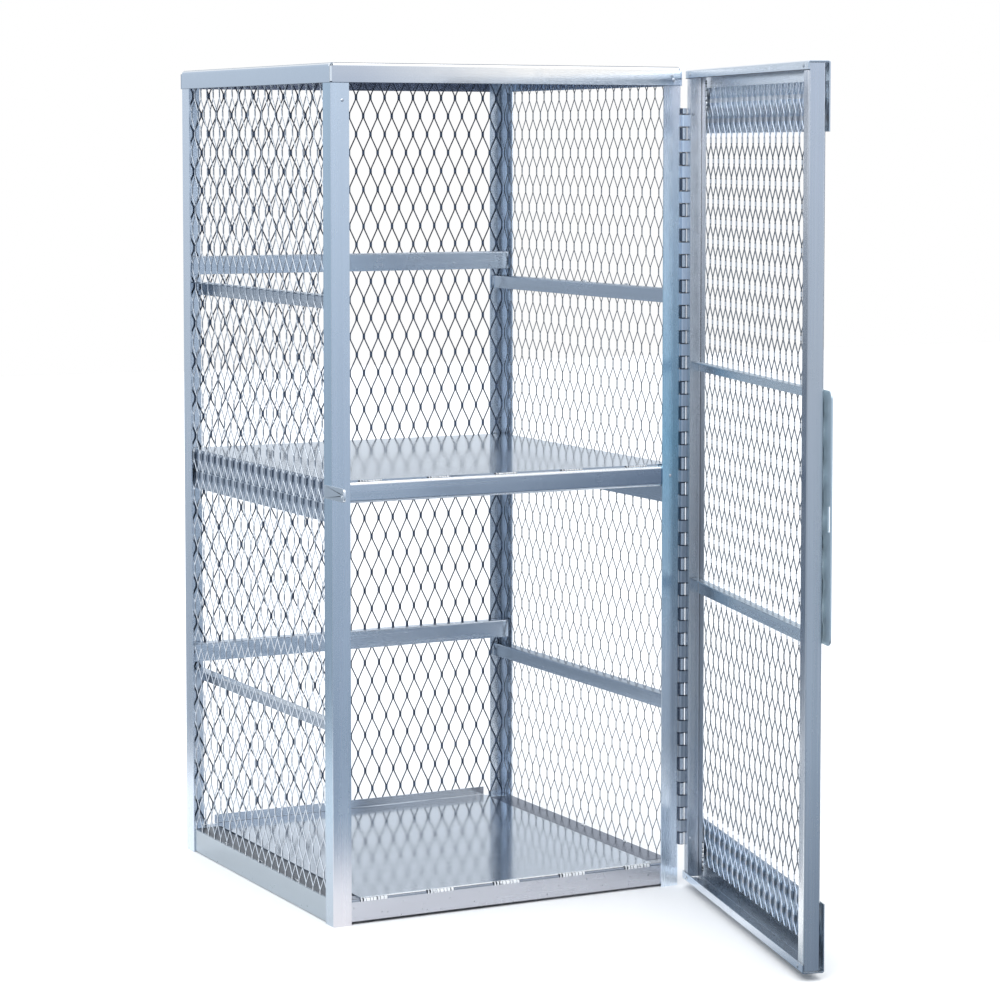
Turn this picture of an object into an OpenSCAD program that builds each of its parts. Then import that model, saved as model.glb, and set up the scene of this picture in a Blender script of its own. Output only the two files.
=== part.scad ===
// Mesh-sided upright storage cabinet in aluminium: angle posts, folded roof, floor and shelf,
// raised expanded mesh on three sides and a full-height mesh door on a continuous hinge.
// The origin is the outer corner of the front left post, on the floor. X runs to the right, Y into the cabinet, Z up.
// The hinged front is turned open about the hinge pin; a door_open of 0 closes it.

/* [Cabinet body] */
// Width over the corner posts
body_w = 762; // [600:1:1200]
// Depth over the corner posts
body_d = 762; // [600:1:1200]
// Height to the top of the roof
body_h = 1651; // [1200:1:1900]

/* [Frame] */
// Leg width of the corner angles
post_leg = 38; // [25:1:60]
// Thickness of the corner angles
post_t = 3; // [2:0.5:6]
// Height of the bottom rails
base_h = 49; // [30:1:80]
// Thickness of the folded rails
rail_t = 2.5; // [1.5:0.1:4]
// Height of the turned-down roof skirt
skirt_h = 38; // [20:1:60]
// Roof sheet thickness
roof_t = 2; // [1:0.1:4]
// Inside radius of the roof folds
roof_r = 5; // [2:0.5:10]

/* [Rails and shelf] */
// Top face of the shelf
shelf_top = 858; // [600:1:1100]
// Thickness of the floor and shelf sheets
sheet_t = 2.5; // [1.5:0.1:4]
// Height of the floor's turned-up back edge
floor_lip = 20; // [10:1:40]
// Distance of the floor sheet's sides from the cabinet's sides
floor_in = 59; // [10:1:100]
// Depth of the shelf's folded edges
shelf_lip = 41; // [20:1:60]
// Underside of the lower side rails
low_rail_z = 363; // [200:1:600]
// Underside of the upper side rails
high_rail_z = 1182; // [1000:1:1400]
// Face height of the side rails
rail_h = 28; // [20:1:50]
// Face height of the back rails
back_rail_h = 38; // [20:1:60]
// Height of the back rails' underside over the side rails' top
back_rise = 15; // [5:1:60]
// Distance that the rails stand in from the mesh
rail_in = 25; // [15:1:40]

/* [Expanded mesh] */
// Short pitch of the diamonds, across
swd = 34; // [20:0.5:60]
// Long pitch of the diamonds, upright
lwd = 79.4; // [40:0.1:120]
// Overall thickness of the raised mesh
mesh_t = 4.8; // [2:0.1:8]
// Width of a strand
strand = 3.4; // [2:0.1:6]
// Height of a bond between diamonds
bond = 13; // [6:0.5:20]
// Diamonds across a panel
mesh_cols = 20; // [10:1:30]
// Diamonds up a panel
mesh_rows = 19; // [10:1:24]

/* [Door] */
// Angle that the door stands open
door_open = 76; // [0:0.1:180]
// Width of the door
door_w = 750.8; // [500:0.1:1100]
// Underside of the door
door_z = 14; // [5:1:60]
// Top of the door
door_top = 1644; // [1100:1:1900]
// Gap between the door and the posts
door_gap = 4; // [2:0.5:10]
// Thickness of the door sheet
door_t = 2.5; // [1.5:0.1:4]
// Depth of the door's upright channels
stile_d = 32; // [20:0.5:50]
// Width of the upright channels' legs
stile_w = 28; // [15:1:50]
// Height of the inner lip of the end caps
cap_lip = 17; // [10:1:40]
// Height of the outer leg of the end caps
cap_leg = 125; // [60:1:200]
// Underside of the lower door rail
door_rail_low = 596; // [300:1:800]
// Underside of the upper door rail
door_rail_high = 1044; // [800:1:1300]

/* [Hinge] */
// Outside radius of the hinge barrel
barrel_r = 6.35; // [4:0.05:10]
// Radius of the hinge pin
pin_r = 3; // [2:0.1:4]
// Running gap round the pin
pin_gap = 0.05; // [0.01:0.01:0.1]
// Length of one knuckle
knuckle = 25.4; // [10:0.1:50]
// Bottom end of the hinge
hinge_z = 84; // [40:1:200]
// Length of the hinge
hinge_l = 1485; // [800:1:1600]
// Width of a hinge leaf from the pin
leaf_w = 30; // [20:1:45]
// Thickness of a hinge leaf
leaf_t = 2.3; // [1.5:0.1:3]

/* [Latch] */
// Underside of the latch plate
plate_z = 607; // [300:1:900]
// Height of the latch plate
plate_h = 455; // [200:1:700]
// Distance that the latch plate stands past the door edge
plate_out = 24; // [20:1:40]
// Thickness of the latch plate
plate_t = 3; // [2:0.5:6]
// Width of the slot in the latch plate
slot_w = 11; // [8:0.5:16]
// Height of the slot in the latch plate
slot_h = 46; // [36:1:60]
// Distance that the slot's middle lies below the strap's
slot_drop = 4; // [0:0.5:8]
// Height of the latch strap's centre line
strap_z = 838; // [600:1:1000]
// Height of the latch strap
strap_h = 26; // [20:1:40]
// Thickness of the latch strap
strap_t = 4.8; // [3:0.1:8]
// Distance that the latch strap reaches in front of the posts
strap_out = 64; // [50:1:80]
// Radius of the padlock hole
lock_r = 4.75; // [3:0.05:7]

/* [Hidden] */
alu = [0.72, 0.77, 0.84];
alu_dark = [0.62, 0.68, 0.76];
bright = [0.84, 0.88, 0.93];

xl = 0;                                 // left face of the posts
xr = body_w;                            // right face
yf = 0;                                 // front face
yr = body_d;                            // back face
cx = body_w / 2;                        // middle of the footprint
cy = body_d / 2;
mesh_clear = 5;                         // end gap of a mesh panel behind the post legs
mesh_w = body_w - 2 * (post_t + mesh_clear);
mesh_z0 = base_h;
mesh_z1 = body_h - roof_t - 9;
xm = xl + post_t + mesh_t;              // inner face of the left mesh
ym = yr - post_t - mesh_t;              // inner face of the back mesh
xi = xm + 0.5;                          // the same with a clear gap
xj = xr - post_t - mesh_t - 0.5;
yj = ym - 0.5;
ax_x = xr + 6.2;                        // hinge axis
ax_y = yf - door_gap / 2;
dl = xr - door_w;                       // latch edge of the closed door
dy = yf - door_gap;                     // inner face of the closed door
sy = dy - door_t;                       // inner face of the upright channels
my = sy - stile_d;                      // inner face of the door mesh
oy = my - mesh_t;                       // outer face of the door mesh

// ---------- helpers ----------
// extrude a (Y, Z) profile along X, an (X, Z) profile along Y
module along_x(x0, x1) { translate([x0, 0, 0]) rotate([90, 0, 90]) linear_extrude(x1 - x0) children(); }
module along_y(y0, y1) { translate([0, y1, 0]) rotate([90, 0, 0]) linear_extrude(y1 - y0) children(); }
module along_z(z0, z1) { translate([0, 0, z0]) linear_extrude(z1 - z0) children(); }
module box(a, b) { translate(a) cube(b - a); }
// the same piece on the other side of the cabinet
module other_side() { translate([2 * cx, 0, 0]) mirror([1, 0, 0]) children(); }

// outline of folded sheet: a path of right-angled runs, the sheet lying on the path's left,
// or on its right for a negative thickness; r is the inside radius of the folds
function left_of(v) = [-v[1], v[0]];
function unit(v) = v / norm(v);
function fold(a, b, c, t, r, side, n = 4) =
  let (u = unit(b - a), v = unit(c - b), s = sign(u[0] * v[1] - u[1] * v[0]),
       q = s * t > 0, w = abs(t), rc = q ? r + w : r, o = b - u * rc + v * rc,
       rr = q == (side == 0) ? r + w : r, a0 = atan2(-v[1], -v[0]))
  [for (k = [0 : n]) o + rr * [cos(a0 + s * 90 * k / n), sin(a0 + s * 90 * k / n)]];
function run(p, t, r, side) =
  let (m = len(p) - 1, d = side == 0 ? 0 : t,
       u0 = left_of(unit(p[1] - p[0])) * d, u1 = left_of(unit(p[m] - p[m - 1])) * d)
  concat([p[0] + u0],
    m < 2 ? [] : [for (i = [1 : m - 1]) each fold(p[i - 1], p[i], p[i + 1], t, r, side)],
    [p[m] + u1]);
function back(l) = [for (i = [len(l) - 1 : -1 : 0]) l[i]];
module folded(p, t, r = 2) { polygon(concat(run(p, t, r, 0), back(run(p, t, r, 1)))); }

// expanded mesh panel, standing in the X-Z plane with its lower left corner at the origin;
// cut is how much narrower its plain left border is
module mesh_panel(w, h, cols, rows, cut = 0) {
  bx = (w - cols * swd) / 2;
  bz = (h - rows * lwd) / 2;
  a = swd - strand * 1.04;
  b = lwd - bond;
  module diamond() { polygon([[-a / 2, 0], [0, -b / 2], [a / 2, 0], [0, b / 2]]); }
  translate([0, mesh_t, 0]) rotate([90, 0, 0]) linear_extrude(mesh_t) difference() {
    translate([cut, 0]) square([w - cut, h]);
    for (i = [0 : cols - 1], j = [0 : rows - 1])
      translate([bx + (i + 0.5) * swd, bz + (j + 0.5) * lwd]) diamond();
    for (i = [1 : cols - 1], j = [1 : rows - 1])
      translate([bx + i * swd, bz + j * lwd]) diamond();
  }
}

// dome rivet head, its flat side at the origin, standing out along +Z
module rivet_head(r = 4, h = 1.8) {
  rs = (r * r + h * h) / (2 * h);
  intersection() {
    translate([0, 0, h - rs]) sphere(r = rs, $fn = 48);
    cylinder(r = r + 1, h = h + 1, $fn = 48);
  }
}

// ---------- corner posts ----------
module post(sx, sy2) {
  // corner at the origin, legs running to +X and +Y before mirroring
  mirror([sx, 0, 0]) mirror([0, sy2, 0])
    along_z(0, body_h - roof_t - roof_r - 0.5)
      polygon([[0, 0], [post_leg, 0], [post_leg, post_t], [post_t, post_t], [post_t, post_leg], [0, post_leg]]);
}
module post_front_left()  { color(alu) translate([xl, yf, 0]) post(0, 0); }
module post_front_right() { color(alu) translate([xr, yf, 0]) post(1, 0); }
module post_rear_left()   { color(alu) translate([xl, yr, 0]) post(0, 1); }
module post_rear_right()  { color(alu) translate([xr, yr, 0]) post(1, 1); }

// ---------- roof ----------
module roof_pan() {
  hw = body_w / 2 + roof_t;
  hd = body_d / 2 + roof_t;
  o = roof_r + roof_t;
  color(bright) translate([cx, cy, 0]) union() {
    box([-hw + o, -hd + o, body_h - roof_t], [hw - o, hd - o, body_h]);
    translate([0, -hd, body_h]) skirt(2 * (hw - o), 2 * hw);
    translate([0, hd, body_h]) mirror([0, 1, 0]) skirt(2 * (hw - o), 2 * hw);
    translate([-hw, 0, body_h]) rotate([0, 0, -90]) skirt(2 * (hd - o), 2 * hd - 2 * roof_t - 2);
    translate([hw, 0, body_h]) rotate([0, 0, 90]) skirt(2 * (hd - o), 2 * hd - 2 * roof_t - 2);
  }
}
// skirt hanging from the roof edge: outside face at Y = 0, top at Z = 0
module skirt(len_fold, len_leg) {
  o = roof_r + roof_t;
  p = [[o, 0], [0, 0], [0, -o - 1]];
  along_x(-len_fold / 2, len_fold / 2) folded(p, roof_t, roof_r);
  box([-len_leg / 2, 0, -skirt_h], [len_leg / 2, roof_t, -o]);
}
module roof_rivets() {
  hw = body_w / 2 + roof_t;
  hd = body_d / 2 + roof_t;
  z = body_h - 26;
  e = 17;
  color(bright) {
    translate([xr - e, cy - hd, z]) rotate([90, 0, 0]) rivet_head(4, 1.4);
    translate([xl + 24, yf, z - 45]) rotate([90, 0, 0]) rivet_head(3.2, 1.2);
    for (s = [-1, 1]) translate([cx + s * (body_w / 2 - e), cy + hd, z]) rotate([-90, 0, 0]) rivet_head(4, 1.4);
    translate([cx + hw, yf + e, z]) rotate([0, 90, 0]) rivet_head(4, 1.4);
    translate([cx + hw, yr - e, z]) rotate([0, 90, 0]) rivet_head(4, 1.4);
  }
}

// ---------- bottom rails and floor ----------
module base_rail_front() {
  y = yf + post_t;
  color(alu) along_x(xl + 6, xr - 6)
    folded([[y + 15, 4], [y, 4], [y, base_h], [y + 30, base_h]], -rail_t, 2);
}
module base_rail_rear() {
  y = yr - post_t;
  color(alu) along_x(xl + 6, xr - 6)
    folded([[y - 15, 4], [y, 4], [y, base_h], [y - 30, base_h]], rail_t, 2);
}
module base_rail_side() {
  x = xl + post_t;
  union() {
    along_y(yf + post_t, yr - post_t)
      folded([[x, base_h], [x, 0], [x + 30, 0]], rail_t, 2);
    // the top leg that carries the floor, between the front and back rails
    box([x + 1, yf + post_t + 33, base_h - rail_t], [x + 60, yr - post_t - 33, base_h]);
  }
}
module base_rail_left()  { color(alu) base_rail_side(); }
module base_rail_right() { color(alu) other_side() base_rail_side(); }
rail_r = 2 + rail_t;                    // outside radius of the front rail's fold
function on_fold(a) = [yf + post_t + rail_r * (1 - cos(a)), base_h - rail_r * (1 - sin(a))];
floor_y = on_fold(67.5)[0];             // front edge of the floor sheet
module floor_pan() {
  color(bright) along_x(xl + floor_in, xr - floor_in)
    folded([[floor_y, base_h], [yj, base_h], [yj, base_h + floor_lip]], sheet_t, 1.5);
}
module weld_row(y, z, xs, len) {
  for (x = xs) translate([x, 0, 0]) along_x(-len / 2, len / 2)
    polygon([[y, z], [y, z + 2.4], [y - 1.6, z + 2.1], [y - 3, z + 1.2], [y - 3.6, z]]);
}
// five beads that fill the notch between the floor sheet's edge and the front rail's fold
module floor_welds() {
  y = yf + post_t;
  color(bright) for (k = [-2 : 2]) translate([cx - 7 + k * 146 + k * k, 0, 0]) along_x(-30, 30)
    polygon([[y, base_h - 6], on_fold(0), on_fold(22.5), on_fold(45), on_fold(67.5), [floor_y, base_h + 2.2],
             [y + 1.4, base_h + 2], [y - 0.4, base_h + 1], [y - 1.4, base_h - 1], [y - 1.5, base_h - 3], [y - 0.8, base_h - 5]]);
}

// ---------- bumper rails inside the mesh ----------
module side_rail(z) {
  // corner of the angle on the inside, its top leg running out to the mesh
  along_y(yf + post_t, yj - 0.3)
    folded([[xm + rail_in, z], [xm + rail_in, z + rail_h], [xm, z + rail_h]], rail_t, 1);
}
module back_rail(z) {
  along_x(xi, xj)
    folded([[ym, z + back_rail_h], [ym - rail_in, z + back_rail_h], [ym - rail_in, z]], rail_t, 1);
}
module low_rail_left()   { color(alu_dark) side_rail(low_rail_z); }
module low_rail_right()  { color(alu_dark) other_side() side_rail(low_rail_z); }
module low_rail_rear()   { color(alu_dark) back_rail(low_rail_z + rail_h + back_rise); }
module high_rail_left()  { color(alu_dark) side_rail(high_rail_z); }
module high_rail_right() { color(alu_dark) other_side() side_rail(high_rail_z); }
module high_rail_rear()  { color(alu_dark) back_rail(high_rail_z + rail_h + back_rise); }

// ---------- shelf ----------
module shelf_rail() {
  z = shelf_top - sheet_t - shelf_lip;
  along_y(yf + post_t, yj - 0.3)
    folded([[xi, z - 38], [xi, z], [xi + 30, z]], -rail_t, 1.5);
}
module shelf_rail_left()  { color(alu_dark) shelf_rail(); }
module shelf_rail_right() { color(alu_dark) other_side() shelf_rail(); }
module shelf_front() {
  z = shelf_top - sheet_t;
  y = yf + post_t;
  color(alu) along_x(xi, xj)
    folded([[y + 15, z - shelf_lip], [y, z - shelf_lip], [y, z], [y + 30, z]], -rail_t, 4);
}
module shelf_pan() {
  z = shelf_top;
  color(bright) union() {
    along_y(yf + 11, yj)
      box2([xi + 2, z - sheet_t], [xj - 2, z]);
    along_y(yf + 40, yj)
      folded([[xi, z - shelf_lip - sheet_t], [xi, z], [xj, z], [xj, z - shelf_lip - sheet_t]], -sheet_t, 1.5);
    box([xi + 6, yj - sheet_t, z - shelf_lip], [xj - 6, yj, z - 1]);
  }
}
module box2(a, b) { translate(a) square(b - a); }
module shelf_welds() {
  color(bright) weld_row(yf + 11, shelf_top - sheet_t, [for (k = [-2 : 2]) cx - 5 + k * 146], 50);
}
module shelf_rivets() {
  color(bright) for (s = [-1, 1])
    translate([cx + s * (body_w / 2 - 20), yf, shelf_top - 23]) rotate([90, 0, 0]) rivet_head(3.2, 1.2);
}

// ---------- mesh panels ----------
module mesh_left() {
  color(alu) translate([xl + post_t, yf + post_t + mesh_clear, mesh_z0])
    rotate([0, 0, 90]) translate([0, -mesh_t, 0]) mesh_panel(mesh_w, mesh_z1 - mesh_z0, mesh_cols, mesh_rows);
}
module mesh_right() {
  color(alu) translate([xr - post_t, yf + post_t + mesh_clear, mesh_z0])
    rotate([0, 0, 90]) mesh_panel(mesh_w, mesh_z1 - mesh_z0, mesh_cols, mesh_rows);
}
module mesh_rear() {
  color(alu) translate([cx - mesh_w / 2, yr - post_t - mesh_t, mesh_z0])
    mesh_panel(mesh_w, mesh_z1 - mesh_z0, mesh_cols, mesh_rows);
}
// tack welds where the rails' top legs meet the mesh, three to a leg
module tack_row(z) {
  for (k = [-1 : 1]) along_y(cy + k * 181 - 8, cy + k * 181 + 8)
    polygon([[xm, z], [xm + 3, z], [xm + 2.4, z + 1.2], [xm + 1.2, z + 2.4], [xm, z + 3]]);
}
module mesh_tacks() {
  color(alu_dark) for (z = [base_h, low_rail_z + rail_h, high_rail_z + rail_h]) {
    tack_row(z);
    other_side() tack_row(z);
  }
}

// ---------- latch strap and hinge ----------
module latch_strap() {
  color(alu_dark) translate([xl - strap_t, 0, 0]) difference() {
    translate([0, 0, strap_z]) rotate([90, 0, 90]) linear_extrude(strap_t)
      polygon([[yf + 26, -strap_h / 2], [yf + 26, strap_h / 2],
               [yf - strap_out + 7, strap_h / 2], [yf - strap_out + 2.1, strap_h / 2 - 2.1], [yf - strap_out, strap_h / 2 - 7],
               [yf - strap_out, -strap_h / 2 + 7], [yf - strap_out + 2.1, -strap_h / 2 + 2.1], [yf - strap_out + 7, -strap_h / 2]]);
    translate([-1, yf - strap_out + 9.5, strap_z]) rotate([0, 90, 0]) cylinder(r = lock_r, h = strap_t + 2, $fn = 64);
  }
}
knuckles = ceil(hinge_l / knuckle);
module hinge_half(first, dir) {
  // knuckles first, first + 2 and so on, with the leaf running along dir * Y
  difference() {
    union() {
      box([ax_x - 6.2, min(ax_y + dir * (barrel_r + 0.6), ax_y + dir * leaf_w), hinge_z],
          [ax_x - 6.2 + leaf_t, max(ax_y + dir * (barrel_r + 0.6), ax_y + dir * leaf_w), hinge_z + hinge_l]);
      for (i = [first : 2 : knuckles - 1]) {
        z0 = hinge_z + i * knuckle + 0.2;
        z1 = min(hinge_z + (i + 1) * knuckle - 0.2, hinge_z + hinge_l);
        translate([ax_x, ax_y, z0]) cylinder(r = barrel_r, h = z1 - z0, $fn = 64);
        box([ax_x - 6.2, min(ax_y, ax_y + dir * (barrel_r + 1)), z0],
            [ax_x - 6.2 + leaf_t, max(ax_y, ax_y + dir * (barrel_r + 1)), z1]);
      }
    }
    translate([ax_x, ax_y, hinge_z - 5]) cylinder(r = pin_r + pin_gap, h = hinge_l + 10, $fn = 64);
  }
}
module hinge_leaf_post() { color(alu) hinge_half(0, 1); }
module hinge_pin() {
  color(alu_dark) translate([ax_x, ax_y, hinge_z]) cylinder(r = pin_r, h = hinge_l, $fn = 64);
}

// ---------- door ----------
// turns a closed door part open about the hinge axis
module swing() { translate([ax_x, ax_y, 0]) rotate([0, 0, door_open]) translate([-ax_x, -ax_y, 0]) children(); }

module hinge_leaf_door() { color(alu) swing() hinge_half(1, -1); }
module cap_profile() {
  // (Y, Z) with the web's outer face at Z = 0 and the legs hanging down
  folded([[dy, -cap_lip], [dy, 0], [oy - door_t, 0], [oy - door_t, -cap_leg]], door_t, 1.2);
}
module door_cap_top() { color(alu) swing() translate([0, 0, door_top]) along_x(dl, xr) cap_profile(); }
module door_cap_bottom() { color(alu) swing() translate([0, 0, door_z]) mirror([0, 0, 1]) along_x(dl, xr) cap_profile(); }
module stile_profile() {
  // channel open towards +X, web on the left
  folded([[stile_w, 0], [0, 0], [0, -stile_d], [stile_w, -stile_d]], door_t - 0.5, 2.5);
}
module door_stile_latch() {
  color(alu) swing() translate([dl + 2, sy, 0]) along_z(door_z + door_t + 1.5, door_top - door_t - 1.5) stile_profile();
}
module door_stile_hinge() {
  color(alu) swing() translate([xr, sy, 0]) mirror([1, 0, 0]) along_z(door_z + door_t + 1.5, door_top - door_t - 1.5) stile_profile();
}
module door_rail(z, h, d) {
  t = door_t - 0.5;
  y = my + t;   // inner face of the channels' outer legs
  // ends clear of the channels' folds
  swing() along_x(dl + t + 5, xr - t - 3)
    folded([[y + d, z + h], [y, z + h], [y, z]], t, 0.8);
}
module door_rail_lower() { color(alu_dark) door_rail(door_rail_low, 32, 20); }
module door_rail_upper() { color(alu_dark) door_rail(door_rail_high, 20, 20); }
door_mesh_w = door_w - 6;
door_mesh_h = 1560;
door_mesh_in = 14.5;                    // the mesh stands back from the latch edge
module door_mesh() {
  color(alu) swing() translate([dl + 3, oy, (door_z + door_top - door_mesh_h) / 2])
    mesh_panel(door_mesh_w, door_mesh_h, mesh_cols, mesh_rows, door_mesh_in);
}
// upright beads where the channels' outer legs meet the mesh, behind the end caps
module door_welds() {
  t = door_t - 0.5;
  module bead() {
    for (z = [[door_z + 20, door_z + 80], [door_top - 80, door_top - 20]])
      translate([0, 0, z[0]]) linear_extrude(z[1] - z[0])
        polygon([[0, my], [0, my + t], [-1.6, my + t + 0.8], [-3.6, my + t + 0.4], [-5, my + t - 0.8], [-5.6, my]]);
  }
  color(bright) swing() {
    translate([xr - stile_w, 0, 0]) bead();
    translate([dl + 2 + stile_w, 0, 0]) mirror([1, 0, 0]) bead();
  }
}
module door_rivets() {
  color(bright) swing() for (x = [dl + 25, xr - 30], z = [door_z + 9, door_top - 9])
    translate([x, dy, z]) rotate([-90, 0, 0]) rivet_head(4, 1.6);
  // through the hinge leaf and the channel's web
  color(bright) swing() for (z = [hinge_z + 12, hinge_z + hinge_l - 12])
    translate([xr - door_t + 0.5, sy - 12.5, z]) rotate([0, -90, 0]) rivet_head(3.2, 1.2);
}
module latch_plate() {
  x0 = dl - plate_out;
  x1 = dl + 25;
  r = 14;
  xs = xl - 2.6;           // centre of the slot
  zs = strap_z - slot_drop;
  n = [0, 30, 60, 90];
  color(alu_dark) swing() translate([0, oy, 0]) rotate([90, 0, 0]) linear_extrude(plate_t) difference() {
    polygon(concat(
      [for (a = n) [x0 + r - r * cos(a), plate_z + plate_h - r + r * sin(a)]],
      [[x1, plate_z + plate_h], [x1, plate_z]],
      [for (a = back(n)) [x0 + r - r * cos(a), plate_z + r - r * sin(a)]]));
    translate([xs - slot_w / 2, zs - slot_h / 2]) square([slot_w, slot_h]);
  }
}

post_front_left();
post_front_right();
post_rear_left();
post_rear_right();
roof_pan();
roof_rivets();
base_rail_front();
base_rail_rear();
base_rail_left();
base_rail_right();
floor_pan();
floor_welds();
low_rail_left();
low_rail_right();
low_rail_rear();
high_rail_left();
high_rail_right();
high_rail_rear();
shelf_rail_left();
shelf_rail_right();
shelf_front();
shelf_pan();
shelf_welds();
shelf_rivets();
mesh_left();
mesh_right();
mesh_rear();
mesh_tacks();
latch_strap();
hinge_leaf_post();
hinge_pin();
hinge_leaf_door();
door_cap_top();
door_cap_bottom();
door_stile_hinge();
door_stile_latch();
door_rail_lower();
door_rail_upper();
door_mesh();
door_welds();
door_rivets();
latch_plate();
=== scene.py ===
"""Looks of the mesh-sided storage cabinet: raised expanded mesh, weld beads, mill-finish aluminium, studio and camera.

Metres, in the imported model's frame: origin at the outer bottom corner of the front left post, X right, Y into the
cabinet, Z up.
"""

import math

import bpy
from mathutils import Matrix, Vector


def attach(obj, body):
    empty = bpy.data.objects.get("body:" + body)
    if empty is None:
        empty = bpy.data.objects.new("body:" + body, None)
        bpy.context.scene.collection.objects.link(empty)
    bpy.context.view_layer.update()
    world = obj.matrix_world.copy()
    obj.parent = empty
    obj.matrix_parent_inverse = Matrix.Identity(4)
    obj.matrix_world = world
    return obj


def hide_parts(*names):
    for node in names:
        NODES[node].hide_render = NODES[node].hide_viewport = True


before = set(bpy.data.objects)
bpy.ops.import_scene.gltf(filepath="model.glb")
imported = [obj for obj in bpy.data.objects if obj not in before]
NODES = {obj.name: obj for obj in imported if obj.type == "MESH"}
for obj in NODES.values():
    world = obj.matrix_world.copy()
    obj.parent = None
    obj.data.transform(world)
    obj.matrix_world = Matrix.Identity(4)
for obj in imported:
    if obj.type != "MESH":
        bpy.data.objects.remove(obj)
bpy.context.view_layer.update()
MM = 0.001
SWING = 76.0                      # the stored door angle
HINGE = Vector((768.2, -2.0, 0.0))
scene = bpy.context.scene


# ---------------------------------------------------------------- node helpers
class Tree:
    """A material's or the world's node tree, built in short lines."""

    def __init__(self, tree):
        self.t = tree
        tree.nodes.clear()

    def add(self, kind, _inputs=None, **props):
        n = self.t.nodes.new(kind)
        for k, v in props.items():
            setattr(n, k, v)
        for k, v in (_inputs or {}).items():
            if isinstance(v, bpy.types.NodeSocket):
                self.t.links.new(v, n.inputs[k])
            else:
                n.inputs[k].default_value = v
        return n

    def link(self, a, b):
        self.t.links.new(a, b)

    def math(self, op, a, b=None, c=None, clamp=False):
        n = self.add("ShaderNodeMath", operation=op, use_clamp=clamp)
        for i, v in enumerate((a, b, c)):
            if v is None:
                continue
            if isinstance(v, bpy.types.NodeSocket):
                self.t.links.new(v, n.inputs[i])
            else:
                n.inputs[i].default_value = v
        return n.outputs[0]

    def ramp(self, value, lo, hi, a=0.0, b=1.0, kind="LINEAR"):
        n = self.add("ShaderNodeMapRange", interpolation_type=kind)
        for k, v in (("Value", value), ("From Min", lo), ("From Max", hi), ("To Min", a), ("To Max", b)):
            if isinstance(v, bpy.types.NodeSocket):
                self.t.links.new(v, n.inputs[k])
            else:
                n.inputs[k].default_value = v
        return n.outputs["Result"]

    def noise(self, co, scale, detail=3.0, rough=0.5, stretch=(1, 1, 1), offset=(0, 0, 0), distort=0.0):
        m = self.add("ShaderNodeMapping", {"Vector": co, "Scale": stretch, "Location": offset})
        n = self.add("ShaderNodeTexNoise", {"Vector": m.outputs[0], "Scale": scale, "Detail": detail,
                                            "Roughness": rough, "Distortion": distort})
        return n.outputs[0]

    def mix(self, fac, a, b, blend="MIX"):
        n = self.add("ShaderNodeMix", data_type="RGBA", blend_type=blend, clamp_factor=True)
        for i, v in ((0, fac), (6, a), (7, b)):
            if isinstance(v, bpy.types.NodeSocket):
                self.t.links.new(v, n.inputs[i])
            else:
                n.inputs[i].default_value = v
        return n.outputs[2]


def rgba(c, k=1.0):
    return (c[0] * k, c[1] * k, c[2] * k, 1.0)


def coords(t, door):
    """The row frame's coordinates; for the door's pieces, those of the closed door."""
    co = t.add("ShaderNodeTexCoord").outputs["Object"]
    if not door:
        return co
    a = -math.radians(SWING)
    h = HINGE * MM
    back = h - Matrix.Rotation(a, 3, "Z") @ h
    return t.add("ShaderNodeMapping", {"Vector": co, "Rotation": (0, 0, a), "Location": back}).outputs[0]


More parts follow.
